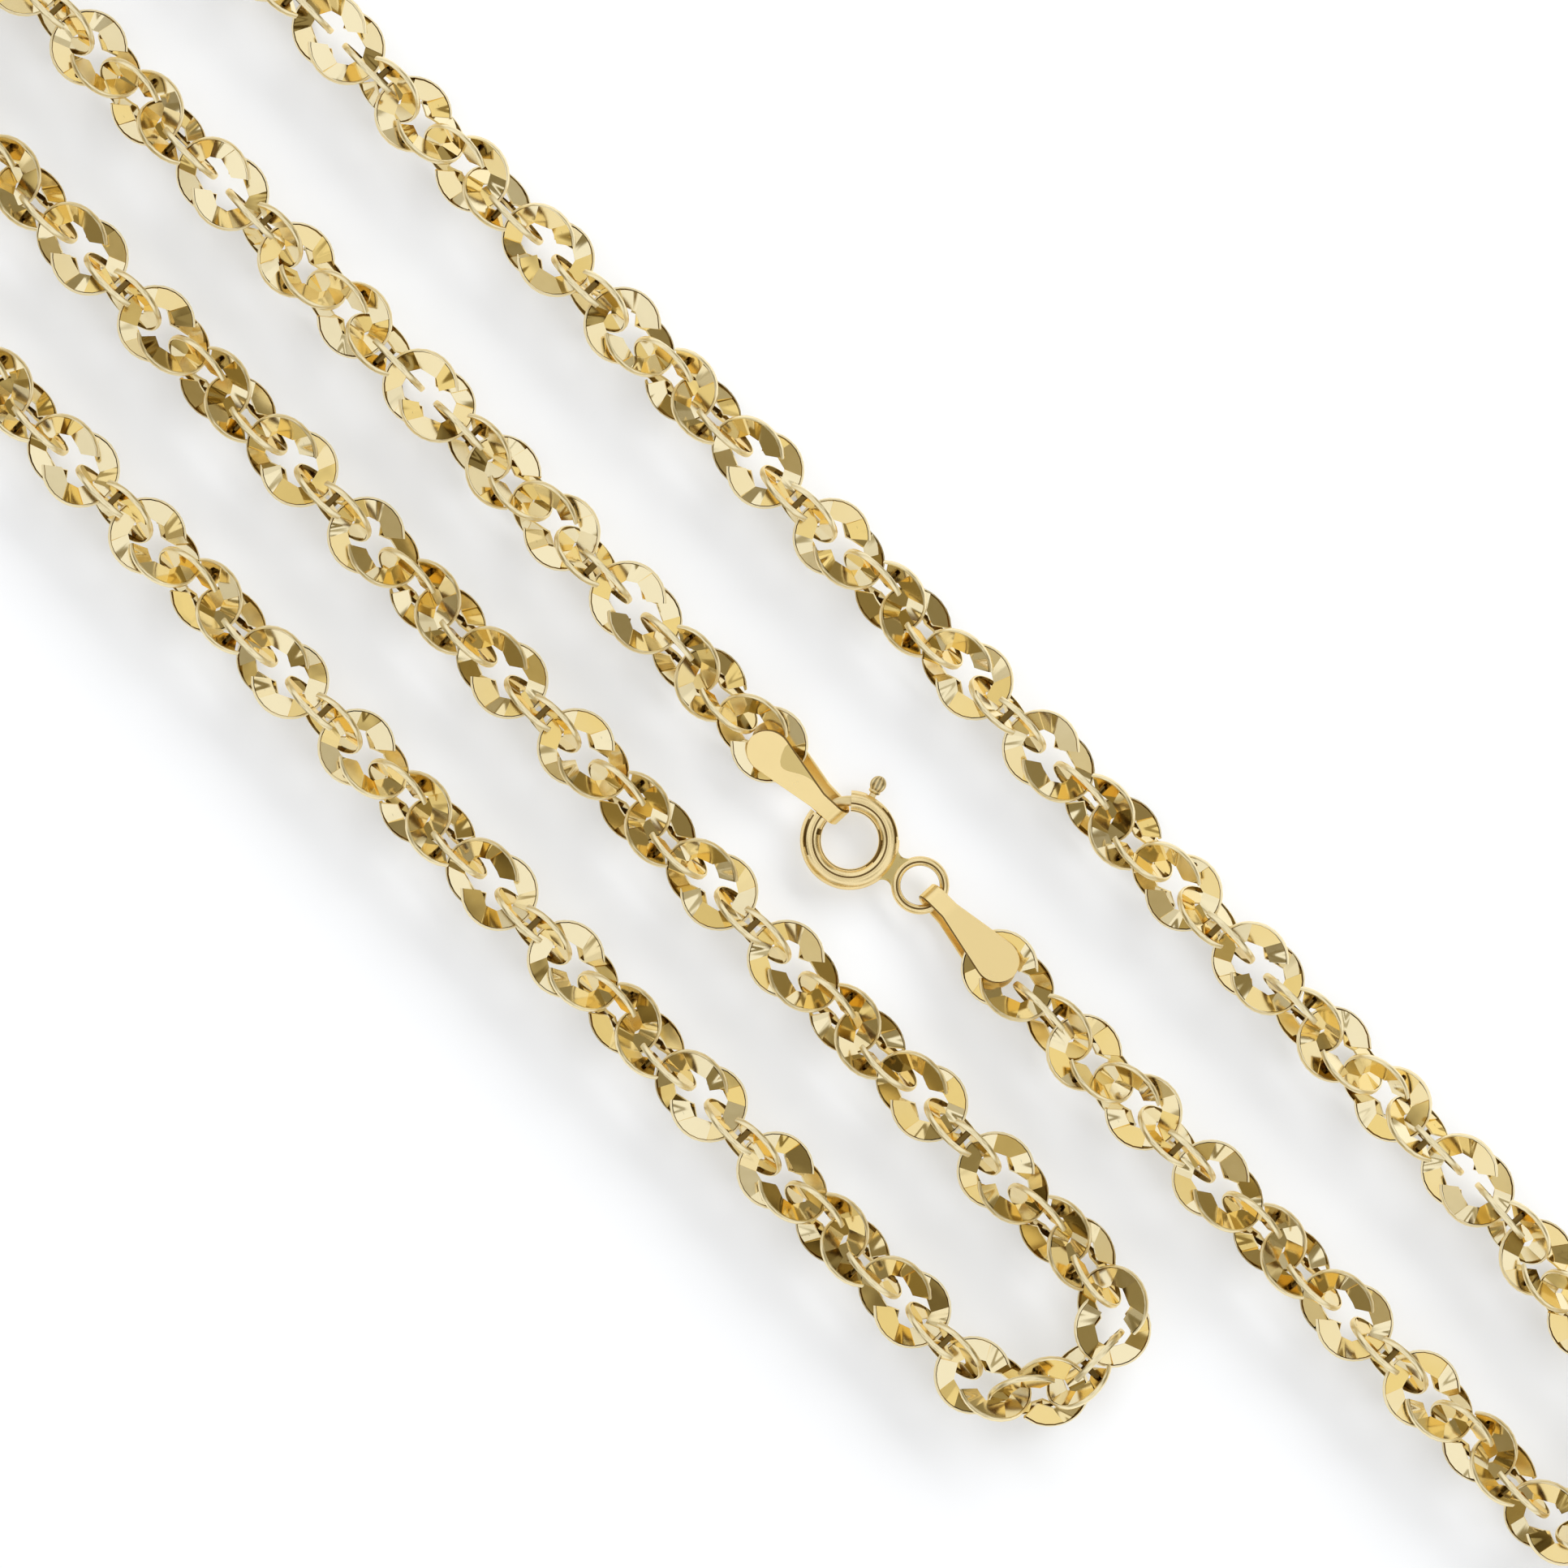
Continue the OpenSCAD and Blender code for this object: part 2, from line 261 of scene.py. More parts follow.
def lay():
    """Centres of the links in travel order, with a fold point at either end, and their turns."""
    flat = (
        along(ROW3_RIGHT, ROW3_LEFT) + list(LEFT_TURN) + along(ROW2_LEFT, ROW2_RIGHT)
        + list(RIGHT_TURN) + along(ROW1_RIGHT, ROW1_LOOSE) + along(ROW1_LOOSE, ROW1_LEFT)
        + half_circle(ROW1_LEFT, ROW4_LEFT) + along(ROW4_LEFT, ROW4_BEND)
        + along(ROW4_BEND, ROW4_RIGHT) + list(FAR_TURN) + along(ROW3_FAR, ROW3_TOP)
        + along(ROW3_TOP, ROW3_MID) + [ROW3_MID]
    )
    places = np.column_stack([np.array(flat), np.full(len(flat), CHAIN_Z)])
    places[[0, -1], 2] -= END_DROP
    first, last = fold_points()
    rolls = np.interp(np.arange(len(flat)), [t[0] for t in TWIST], [t[1] for t in TWIST])
    return np.vstack([first, places, last]), rolls


def turned(roll, heading):
    """Rotation that lays a piece's own X along heading, after a turn about that axis."""
    h = heading / np.linalg.norm(heading)
    yaw, climb = math.atan2(h[1], h[0]), math.asin(h[2])
    m = (Matrix.Rotation(yaw, 3, "Z") @ Matrix.Rotation(-climb, 3, "Y")
         @ Matrix.Rotation(math.radians(roll), 3, "X"))
    return np.array(m)


def spun(points, degrees):
    """Points turned about Z."""
    return np.asarray(points) @ np.array(Matrix.Rotation(math.radians(degrees), 3, "Z")).T


# Meshes

def new_piece(name, verts, faces, smooth, tone, material, body, node, sharp=40):
    """Makes one mesh from points in millimetres, and hangs it on its body in its node's place."""
    mesh = bpy.data.meshes.new(name)
    mesh.from_pydata((np.asarray(verts) * MM).tolist(), [], faces)
    mesh.polygons.foreach_set("use_smooth", smooth)
    facet = mesh.attributes.new("facet", "FLOAT", "FACE")
    facet.data.foreach_set("value", np.array(tone, np.float32))
    mesh.update()
    mesh.set_sharp_from_angle(angle=math.radians(sharp))
    mesh.materials.append(material)
    piece = bpy.data.objects.new(name, mesh)
    bpy.context.scene.collection.objects.link(piece)
    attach(piece, body)
    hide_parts(node)


def grid_faces(rows, columns):
    """Quads of a grid of points, rows by columns, in which each row is a closed loop."""
    return [(i * columns + j, i * columns + (j + 1) % columns,
             (i + 1) * columns + (j + 1) % columns, (i + 1) * columns + j)
            for i in range(rows - 1) for j in range(columns)]


def loft_faces(rows, columns, flip=False):
    """Faces of a closed form: such a grid, and a cap on its first and last row."""
    faces = grid_faces(rows, columns)
    faces += [tuple(range(columns))[::-1], tuple(range((rows - 1) * columns, rows * columns))]
    return [f[::-1] for f in faces] if flip else faces


def bar_point(line, radius, a, t):
    """Point of a round bar that is bent about Z, at a round the bend and t round the bar."""
    r = line + radius * math.cos(t)
    return r * math.cos(a), r * math.sin(a), radius * math.sin(t)


def circle_turns(sides):
    """Angles of the sides of a full circle."""
    return np.arange(sides) * 2 * math.pi / sides


def bent_bar(line, radius, start, end, rows, sides):
    """Round bar bent about Z with rounded ends: points, faces, smooth."""
    angles = np.radians(np.linspace(start, end, rows))
    shape = [(angles[0] - beyond * radius / line, scale) for beyond, scale in ROUNDED_END]
    shape += [(a, 1.0) for a in angles]
    shape += [(angles[-1] + beyond * radius / line, scale) for beyond, scale in ROUNDED_END[::-1]]
    points = [bar_point(line, radius * scale, a, t)
              for a, scale in shape for t in circle_turns(sides)]
    faces = loft_faces(len(shape), sides, flip=True)
    return points, faces, [True] * len(faces)


def post(x, y, half, radius, sides):
    """Upright round post at x, y, from -half to half in height: points, faces, smooth."""
    points = [(x - radius * math.sin(t), y + radius * math.cos(t), z)
              for z in (-half, half) for t in circle_turns(sides)]
    return points, loft_faces(2, sides), [True] * sides + [False] * 2


def welded(points, faces, smooth, tone):
    """Joins points that coincide, and drops the faces that have no area left."""
    points, own = np.unique(np.round(points, 6), axis=0, return_inverse=True)
    own = own.ravel()
    kept = []
    for face, soft, shade in zip(faces, smooth, tone):
        face = tuple(dict.fromkeys(own[list(face)].tolist()))
        if len(face) > 2:
            kept.append((face, soft, shade))
    return (points, *map(list, zip(*kept)))


def open_ring(size, flip):
    """Open ring with cut facets and a raised rim, open towards +X: points, faces, smooth, tone."""
    outer = size.ring_diameter / MM / 2
    inner = outer - size.band_width / MM
    half = size.band_thickness / MM / 2 + RIM_RAISE
    flat = half - FACET_DEPTH
    groove, bevel, edge = outer - RIM_WIDTH, outer - RIM_BEVEL, outer - RIM_ROUND
    shoulder = half * RIM_SHOULDER
    middle = (inner + groove) / 2
    slope = math.tan(size.facet_tilt)
    cuts = FACET_CUTS[::-1] if flip else FACET_CUTS
    shares = [cut[0] for cut in cuts]
    ends = np.cumsum([0] + shares) / sum(shares)
    arc = 2 * math.pi - 2 * size.open_half
    points = []
    for k, (_, around, outward, _) in enumerate(cuts):
        span = arc * (ends[k + 1] - ends[k])
        for d in np.linspace(-0.5, 0.5, FACET_STATIONS) * span:
            a = size.open_half + arc * (ends[k] + ends[k + 1]) / 2 + d
            lean = FACET_LEAN if 0 < a - size.open_half < arc - AT_END else 0
            ri = (inner - INNER_REACH) * math.cos(span / 2) / math.cos(d)
            rise = [slope * (around * r * math.sin(d + b)
                             + outward * (r * math.cos(d + b) - middle))
                    for r, b in ((ri, -lean), (groove, lean))]
            profile = (
                (ri, rise[0] - flat, -lean), (ri, rise[0] + flat, -lean),
                (groove, rise[1] + flat, lean), (groove + GROOVE_WIDTH, half, lean),
                (bevel, half, 0), (edge, shoulder, 0), (outer, 0, 0),
                (edge, -shoulder, 0), (bevel, -half, 0),
                (groove + GROOVE_WIDTH, -half, lean), (groove, rise[1] - flat, lean),
            )
            points += [(r * math.cos(a + b), r * math.sin(a + b), z) for r, z, b in profile]
    rows, n = len(cuts) * FACET_STATIONS, len(profile)
    smooth, tone = [], []
    for i in range(rows - 1):
        shade = cuts[i // FACET_STATIONS][3]
        tones = {FRONT_STRIP: shade, BACK_STRIP: (shade + BACK_TONE) % 1}
        # The grooves are painted dark as the shade in them.
        tones.update(dict.fromkeys(GROOVE_STRIPS, DARK))
        tone += [tones.get(j, PLAIN) for j in range(n)]
        smooth += [j in RIM_STRIPS for j in range(n)]
    return welded(points, loft_faces(rows, n), smooth + [False] * 2, tone + [PLAIN] * 2)


class Build:
    """Gathers the points and faces of a piece."""

    def __init__(self):
        self.points, self.faces, self.smooth, self.tone, self.count = [], [], [], [], 0

    def add(self, points, faces, smooth, tone=None):
        points = np.asarray(points, float)
        self.points.append(points)
        self.faces += [tuple(i + self.count for i in f) for f in faces]
        self.smooth += list(smooth)
        self.tone += list(tone) if tone is not None else [PLAIN] * len(faces)
        self.count += len(points)

    def cloud(self):
        return np.vstack(self.points)


def one_link(size):
    """One link about its own middle: two open rings that face each other and two solder posts."""
    gap, tilt = size.ring_gap / MM / 2, size.ring_turn / 2
    middle = (size.ring_diameter - size.band_width) / MM / 2
    link = Build()
    for side in (-1, 1):
        points, faces, smooth, tone = open_ring(size, side > 0)
        if side > 0:
            points = points * (-1, 1, 1)
            faces = [f[::-1] for f in faces]
        turn_x = np.array(Matrix.Rotation(-side * tilt, 3, "X"))
        link.add(points @ turn_x.T + (side * gap, 0, 0), faces, smooth, tone)
    reach = math.sqrt(middle ** 2 - gap ** 2)
    for side in (-1, 1):
        points, faces, smooth = post(
            0, side * reach * math.cos(tilt), reach * math.sin(tilt), POST_R, POST_SIDES)
        # The solder posts are painted dark as the shade between the two rings.
        link.add(points, faces, smooth, [DARK] * len(faces))
    return link


# Finishes, with painted light and shade

def node(tree, kind, place, **inputs):
    """New node, with constants on the inputs of these names."""
    made = tree.nodes.new(kind)
    made.location = place
    for key, value in inputs.items():
        made.inputs[key.replace("_", " ")].default_value = value
    return made


def math_node(tree, operation, place, source, number):
    """Math node that works on a socket and a number."""
    made = node(tree, "ShaderNodeMath", place)
    made.operation = operation
    made.inputs[1].default_value = number
    tree.links.new(source, made.inputs[0])
    return made


def ramp_node(tree, place, stops):
    """Colour ramp of these positions and colours."""
    made = node(tree, "ShaderNodeValToRGB", place)
    elements = made.color_ramp.elements
    while len(elements) < len(stops):
        elements.new(0.5)
    for element, (position, colour) in zip(elements, stops):
        element.position = position
        element.color = (*colour, 1)
    return made


def mix_node(tree, kind, place, factor, a, b):
    """Mix of a socket and a number or colour: its result is a at factor 0 and b at factor 1."""
    made = node(tree, "ShaderNodeMix", place)
    made.data_type = kind
    first, result = {"FLOAT": (2, 0), "RGBA": (6, 2)}[kind]
    made.inputs[first + 1].default_value = b
    tree.links.new(factor, made.inputs[0])
    tree.links.new(a, made.inputs[first])
    return made.outputs[result]


def gold(name, tones, line, rough, blur, grain, bump):
    """Polished gold: a ramp of painted lit and shaded tones that each face picks from, dark lines
    of painted shade and painted reflection, and faint scratches.
    """
    material = bpy.data.materials.new(name)
    material.use_nodes = True
    tree = material.node_tree
    shader = tree.nodes["Principled BSDF"]
    shader.inputs["Metallic"].default_value = 1.0
    shader.inputs["Specular Tint"].default_value = GOLD_GLINT
    place = node(tree, "ShaderNodeTexCoord", (-1100, 0))
    facet = node(tree, "ShaderNodeAttribute", (-900, 420))
    facet.attribute_name = "facet"
    drift = node(tree, "ShaderNodeTexNoise", (-900, 200), Scale=grain, Detail=2.0)
    tree.links.new(place.outputs["Object"], drift.inputs["Vector"])
    wander = math_node(tree, "MULTIPLY", (-800, 150), drift.outputs["Fac"], DRIFT_TONE)
    pick = math_node(tree, "MULTIPLY_ADD", (-700, 300), facet.outputs["Fac"], OWN_TONE)
    tree.links.new(wander.outputs[0], pick.inputs[2])
    ramp = ramp_node(tree, (-500, 250), tones)
    tree.links.new(pick.outputs[0], ramp.inputs["Fac"])
    # Faces marked dark take the line colour: painted shade and painted reflection.
    is_line = math_node(tree, "LESS_THAN", (-500, 550), facet.outputs["Fac"], DARK_BELOW)
    colour = mix_node(
        tree, "RGBA", (-250, 400), is_line.outputs[0], ramp.outputs["Color"], (*line, 1))
    tree.links.new(colour, shader.inputs["Base Color"])
    fine = node(tree, "ShaderNodeTexNoise", (-900, -150), Scale=grain * SCRATCH_GRAIN, Detail=4.0)
    tree.links.new(place.outputs["Object"], fine.inputs["Vector"])
    span = node(tree, "ShaderNodeMapRange", (-500, -100),
                To_Min=rough * SMOOTHEST, To_Max=rough * ROUGHEST)
    tree.links.new(fine.outputs["Fac"], span.inputs["Value"])
    is_plain = math_node(tree, "GREATER_THAN", (-500, -300), facet.outputs["Fac"], PLAIN_ABOVE)
    total = math_node(tree, "MULTIPLY_ADD", (-300, -150), is_plain.outputs[0], blur)
    tree.links.new(span.outputs["Result"], total.inputs[2])
    tree.links.new(total.outputs[0], shader.inputs["Roughness"])
    scratches = node(tree, "ShaderNodeBump", (-300, -350), Strength=bump, Distance=SCRATCH_DEPTH)
    tree.links.new(fine.outputs["Fac"], scratches.inputs["Height"])
    tree.links.new(scratches.outputs["Normal"], shader.inputs["Normal"])
    return material


# Operators

class CHAIN_OT_links(bpy.types.Operator):
    """Lays out all the links of the chain"""
    bl_idname = "neck_chain.links"
    bl_label = "Links"

    def execute(self, context):
        settings = context.scene.neck_chain
        link = one_link(settings.links)
        cloud = link.cloud()
        places, rolls = lay()
        faces, points, tones, count = [], [], [], len(cloud)
        for i, roll in enumerate(rolls):
            m = turned(roll, places[i + 2] - places[i])
            points.append(cloud @ m.T + places[i + 1])
            faces += [tuple(k + i * count for k in f) for f in link.faces]
            tones += [(t + LINK_TONE * i) % 1 if 0 <= t < 1 else t for t in link.tone]
        colours = settings.colours
        # Ramp of painted light and shade that each facet picks from: shaded, deep and bright gold.
        ramp = ((0.1, colours.shade), (0.14, colours.deep), (0.27, colours.deep),
                (0.6, colours.bright))
        material = gold("links_polish_and_painted_light", ramp, LINK_LINE,
                        rough=0.13, blur=0.16, grain=300, bump=0.03)
        new_piece("chain_links", np.vstack(points), faces, link.smooth * len(rolls), tones,
                  material, "necklace", "chain")
        return {"FINISHED"}


class CHAIN_OT_spring_ring(bpy.types.Operator):
    """Makes the spring ring's tube, its eyelet and the web between them"""
    bl_idname = "neck_chain.spring_ring"
    bl_label = "Spring ring"

    # Angles round the tube in degrees: the mouth from A to B, and the slot.
    MOUTH_A, MOUTH_B = 133, 186
    SLOT_FROM, SLOT_TO = 45, 114
    # Stations from the mouth to the slot, along the slot, and from there to the mouth.
    STATIONS = (61, 18, 6)
    # Sides of the tube, those that the slot leaves open, and half of the slot's width.
    SIDES, SLOT_SIDES, SLOT_HALF = 32, (0, 1), 0.25
    # Sides of the painted dark reflected lines. Sides and angles of the painted shaded parts,
    # and of the vent hole, painted dark as the shade inside it.
    LINES = (9, 14)
    SHADED = (
        ((13,), 345, 425), ((12,), 360, 405), ((5,), 187, 244), ((4,), 196, 230),
        ((4,), 398, 446), ((3,), 408, 440), ((11, 12, 13), 201, 212),
    )
    # Eyelet: its stations, its sides, and the sides of its painted dark reflected lines.
    EYE_ROWS, EYE_SIDES, EYE_LINES = 56, 16, (4, 7)
    # Web: its stations, half widths at the tube and the eyelet, hollow of its sides, how far
    # beyond the lines of the tube and the eyelet's wire it starts and ends, bevel, half height
    # at its edge and in the middle, and tone, between the painted shaded tone and the middle one.
    WEB_ROWS, WEB_HALF, WEB_HOLLOW, WEB_BEYOND = 9, (1.15, 1.05), 0.3, 0.2
    WEB_BEVEL, WEB_EDGE, WEB_HIGH, WEB_TONE = 0.12, 0.08, 0.2, 0.15

    def tube_tone(self, station, side):
        """Painted dark where a reflected line, a painted shaded stretch or the vent hole lies,
        plain elsewhere.
        """
        shaded = any(side in sides and start < station < end for sides, start, end in self.SHADED)
        return DARK if side in self.LINES or shaded else PLAIN

    def tube(self, sizes):
        """Tube with its bore, two open mouths and the slot in which the stem slides."""
        stops = (self.MOUTH_B, 360 + self.SLOT_FROM, 360 + self.SLOT_TO, 360 + self.MOUTH_A)
        stations = np.concatenate(
            [np.linspace(a, b, n)[:-1] for a, b, n in zip(stops, stops[1:], self.STATIONS)]
            + [stops[-1:]])
        points = []
        for radius in (sizes.tube_radius / MM, sizes.bore_radius / MM):
            edge = math.asin(self.SLOT_HALF / radius)
            turns = [-edge, 0, *np.linspace(edge, 2 * math.pi - edge, self.SIDES - 1)[:-1]]
            points += [bar_point(sizes.line_radius / MM, radius, math.radians(s), t)
                       for s in stations for t in turns]
        rows, cols = len(stations), self.SIDES
        bore = rows * cols
        slot_rows = [i for i in range(rows - 1)
                     if self.SLOT_FROM < (stations[i] + stations[i + 1]) / 2 - 360 < self.SLOT_TO]
        faces, tone = [], []
        for k, quad in enumerate(grid_faces(rows, cols)):
            i, j = divmod(k, cols)
            if not (i in slot_rows and j in self.SLOT_SIDES):
                faces += [quad[::-1], tuple(p + bore for p in quad)]
                # The bore's inner face is painted dark as the shade inside the tube.
                tone += [self.tube_tone(stations[i], j), DARK]
        walls = [(i * cols + j, i * cols + (j + 1) % cols, order)
                 for i, order in ((0, 1), (rows - 1, -1)) for j in range(cols)]
        walls += [(i * cols + j, (i + 1) * cols + j, order)
                  for i in slot_rows for j, order in ((0, 1), (2, -1))]
        walls += [(i * cols + j, i * cols + j + 1, order)
                  for i, order in ((slot_rows[0], -1), (slot_rows[-1] + 1, 1))
                  for j in self.SLOT_SIDES]
        faces += [(p, q, bore + q, bore + p)[::order] for p, q, order in walls]
        tone += [PLAIN] * len(walls)
        return points, faces, [True] * len(faces), tone

    def web(self, sizes):
        """Flat web of solder with hollow sides, along +X from the tube to the eyelet."""
        start = sizes.line_radius / MM + self.WEB_BEYOND
        end = EYE_DIST - EYE_LINE_R + self.WEB_BEYOND
        wide, narrow = self.WEB_HALF
        points = []
        for f in np.linspace(0, 1, self.WEB_ROWS):
            half = wide + (narrow - wide) * f - self.WEB_HOLLOW * math.sin(math.pi * f)
            level = half - self.WEB_BEVEL
            lower = ((-half, -self.WEB_EDGE), (-level, -self.WEB_HIGH),
                     (level, -self.WEB_HIGH), (half, -self.WEB_EDGE))
            section = lower + tuple((-y, -z) for y, z in lower)
            points += [(start + (end - start) * f, y, z) for y, z in section]
        faces = loft_faces(self.WEB_ROWS, len(section))
        return points, faces, [True] * len(faces), [self.WEB_TONE] * len(faces)

    def eyelet(self):
        """Ring of round wire at the web's end, with two dark reflected lines."""
        rows, sides = self.EYE_ROWS, self.EYE_SIDES
        points = np.array([bar_point(EYE_LINE_R, EYE_WIRE_R, a, t)
                           for a in circle_turns(rows) for t in circle_turns(sides)])
        faces = [tuple(k % len(points) for k in f[::-1]) for f in grid_faces(rows + 1, sides)]
        tone = [DARK if i % sides in self.EYE_LINES else PLAIN for i in range(len(faces))]
        return points + (EYE_DIST, 0, 0), faces, [True] * len(faces), tone

    def execute(self, context):
        settings = context.scene.neck_chain
        ring = Build()
        ring.add(*self.tube(settings.clasp))
        for points, faces, smooth, tone in (self.web(settings.clasp), self.eyelet()):
            ring.add(spun(points, EYE_DIR), faces, smooth, tone)
        # Ramp of the clasp gold's painted shaded, middle and lit tones.
        tones = ((0.1, CLASP_SHADE), (0.3, CLASP_MIDDLE), (0.6, settings.colours.clasp))
        material = gold("clasp_polish_and_painted_light", tones, CLASP_LINE,
                        rough=0.26, blur=0, grain=200, bump=0.008)
        new_piece("spring_ring_body", ring.cloud() + (*CLASP_AT, CLASP_Z), ring.faces, ring.smooth,
                  ring.tone, material, "necklace", "spring_ring")
        return {"FINISHED"}


class CHAIN_OT_trigger(bpy.types.Operator):
    """Makes the sliding bolt with its stem and knob"""
    bl_idname = "neck_chain.trigger"
    bl_label = "Trigger"

    # Bolt: angles of its ends in degrees, its stations and sides, and the part of its radius used.
    BOLT_FROM, BOLT_TO, BOLT_ROWS, BOLT_SIDES, BOLT_SLIM = 106, 183, 30, 24, 0.98
    # Direction of the stem and knob in degrees, and radius at the two tips of their form.
    STEM_ANGLE, TIP = 108, 0.001
    # Stem and collar: distance from the spring ring's middle, and radius.
    STEM = ((LINE_R, TIP), (LINE_R, 0.2), (2.94, 0.2), (2.98, 0.3), (3.06, 0.36), (3.14, 0.33))
    # Knob: distance of its middle, its length and width in parts of its radius, latitudes in
    # radians between which it is round, its stations and sides.
    KNOB_AT, KNOB_LONG, KNOB_WIDE = 3.52, 0.98, 0.92
    KNOB_FROM, KNOB_TO, KNOB_ROWS, KNOB_SIDES = -0.85, 1.5, 12, 40
    # Ribs of the knob: number, depth, and the sides of each rib and the stations in painted shade.
    RIBS, RIB_DEPTH, RIB_SHADED, RIB_ROWS = 10, 0.05, (1, 2), range(6, 16)

    def knob(self, sizes):
        """Stem, collar and ribbed knob turned about +X."""
        big, sides = sizes.knob_radius / MM, self.KNOB_SIDES
        profile = list(self.STEM)
        for t in np.linspace(self.KNOB_FROM, self.KNOB_TO, self.KNOB_ROWS):
            profile.append((self.KNOB_AT + big * self.KNOB_LONG * math.sin(t),
                            big * self.KNOB_WIDE * math.cos(t)))
        profile.append((self.KNOB_AT + big * self.KNOB_LONG, self.TIP))
        points = []
        for i, (x, r) in enumerate(profile):
            depth = self.RIB_DEPTH if i >= len(self.STEM) else 0
            for t in circle_turns(sides):
                own = r * (1 - depth + depth * math.cos(self.RIBS * t))
                points.append((x, own * math.cos(t), own * math.sin(t)))
        faces = loft_faces(len(profile), sides, flip=True)
        # The valleys of the ribs are painted in shade.
        tone = [0 if i // sides in self.RIB_ROWS and i % (sides // self.RIBS) in self.RIB_SHADED
                else PLAIN for i in range(len(faces))]
        return points, faces, [True] * len(faces), tone

    def execute(self, context):
        settings = context.scene.neck_chain
        sizes = settings.clasp
        trigger = Build()
        trigger.add(*bent_bar(sizes.line_radius / MM, sizes.bolt_radius / MM * self.BOLT_SLIM,
                              self.BOLT_FROM, self.BOLT_TO, self.BOLT_ROWS, self.BOLT_SIDES))
        points, faces, smooth, tone = self.knob(sizes)
        trigger.add(spun(points, self.STEM_ANGLE), faces, smooth, tone)
        # Ramp from 0.42 of the clasp gold, the painted shade of the rib valleys, to 0.88 of it.
        tones = [(position, [c * part for c in settings.colours.clasp])
                 for position, part in ((0.3, 0.42), (0.7, 0.88))]
        material = gold("trigger_polish_and_painted_shade", tones, CLASP_LINE, rough=0.34, blur=0, grain=260, bump=0)
        new_piece("trigger_bolt_and_knob", trigger.cloud() + (*CLASP_AT, CLASP_Z), trigger.faces,
                  trigger.smooth, trigger.tone, material, "trigger", "trigger",
                  sharp=35)
        return {"FINISHED"}


class CHAIN_OT_tongues(bpy.types.Operator):
    """Makes the two folded tongues that join the chain's ends to the clasp"""
    bl_idname = "neck_chain.tongues"
    bl_label = "Tongues"

    # Round end's radius and its half width at the tip, strap's width, half heights inside the fold
    # and between the leaves, distance at which the leaves turn level, and softness of the edges.
    ROUND, TIP_HALF, STRAP, FOLD, LEAF, CREASE, SOFT = 1.28, 0.01, 1.12, 0.66, 0.76, 0.95, 0.06
    # Stations of the round end, the leaf and the fold. Those of the slope between the last two, in
    # parts of the crease's distance, and how far before the crease the leaf's own end.
    END_ROWS, LEAF_ROWS, FOLD_ROWS, SLOPE, LEVEL = 12, 18, 17, (1, 0.66, 0.33), 0.25
    # Strips of the sheet's cross-section: the edge on one side, painted dark as shade, and the
    # painted shaded part.
    EDGE_STRIPS, SHADED_STRIP = (0, 8), 1
    # Painted shaded part: where it starts and ends, its greatest width in parts of the face's half
    # width, and the share of the face that it keeps within.
    SHADE_FROM, SHADE_TO, SHADE_WIDE, SHADE_SHARE = 1.5, 4.5, 1.1, 0.98
    # Post between the leaves: radius and sides.
    RIVET_R, RIVET_SIDES = 0.3, 16
    # Turn of each tongue about its length in degrees, and how far the middle of its round end
    # stands back from its post.
    RING_ROLL, RING_BACK = -20, 0.18
    EYE_ROLL, EYE_BACK = -12, 0.35

    def half_width(self, x, reach):
        """Half width of the tongue's plan at x."""
        small = self.STRAP / 2
        lean = math.acos((self.ROUND - small) / reach)
        touch = reach - self.ROUND * math.cos(lean)
        if x <= self.CREASE:
            return small
        if x < touch:
            f = (x - self.CREASE) / (touch - self.CREASE)
            return small + (self.ROUND * math.sin(lean) - small) * f
        return math.sqrt(max(self.ROUND ** 2 - (x - reach) ** 2, self.TIP_HALF ** 2))

    def path(self, reach, thick):
        """Middle line of the folded sheet in X and Z, from one round end to the other."""
        mid_leaf, mid_fold = self.LEAF + thick / 2, self.FOLD + thick / 2
        leaf = [*(reach + self.ROUND * np.cos(np.linspace(0, math.pi / 2, self.END_ROWS))),
                *np.linspace(reach, self.CREASE + self.LEVEL, self.LEAF_ROWS)[1:],
                *(self.CREASE * part for part in self.SLOPE)]
        upper = [(x, mid_fold + (mid_leaf - mid_fold) * min(x / self.CREASE, 1)) for x in leaf]
        around = [(-mid_fold * math.sin(t), mid_fold * math.cos(t))
                  for t in np.linspace(0, math.pi, self.FOLD_ROWS)]
        return np.array(upper + around + [(x, -z) for x, z in upper[::-1]])

    def sheet(self, reach, thick, shaded):
        """Folded sheet with softened edges: round end, strap, fold, strap and round end."""
        path = self.path(reach, thick)
        ahead = np.gradient(path, axis=0)
        ahead /= np.linalg.norm(ahead, axis=1)[:, None]
        outward = np.column_stack([-ahead[:, 1], ahead[:, 0]])
        h, points = thick / 2, []
        for (x, z), (nx, nz) in zip(path, outward):
            w = self.half_width(max(x, 0), reach)
            s = min(self.SOFT, w / 2)
            f = min(max((x - self.SHADE_FROM) / (self.SHADE_TO - self.SHADE_FROM), 0), 1)
            border = (w - s) * self.SHADE_SHARE * (self.SHADE_WIDE * math.sin(math.pi * f * f) - 1)
            section = ((-w, s - h), (s - w, -h), (border, -h), (w - s, -h), (w, s - h),
                       (w, h - s), (w - s, h), (s - w, h), (-w, h - s))
            points += [(x + nx * o, y, z + nz * o) for y, o in section]
        rows, n = len(path), len(section)
        faces = loft_faces(rows, n)
        tone = [PLAIN] * len(faces)
        # Painted shade on the upper half: the dark edge on one side, and the shaded part of the
        # face.
        for i in range((rows - 1) // 2):
            for j in self.EDGE_STRIPS:
                tone[i * n + j] = DARK
            if shaded and self.SHADE_FROM < path[i][0] < self.SHADE_TO:
                tone[i * n + self.SHADED_STRIP] = 0
        return points, faces, [True] * len(faces), tone

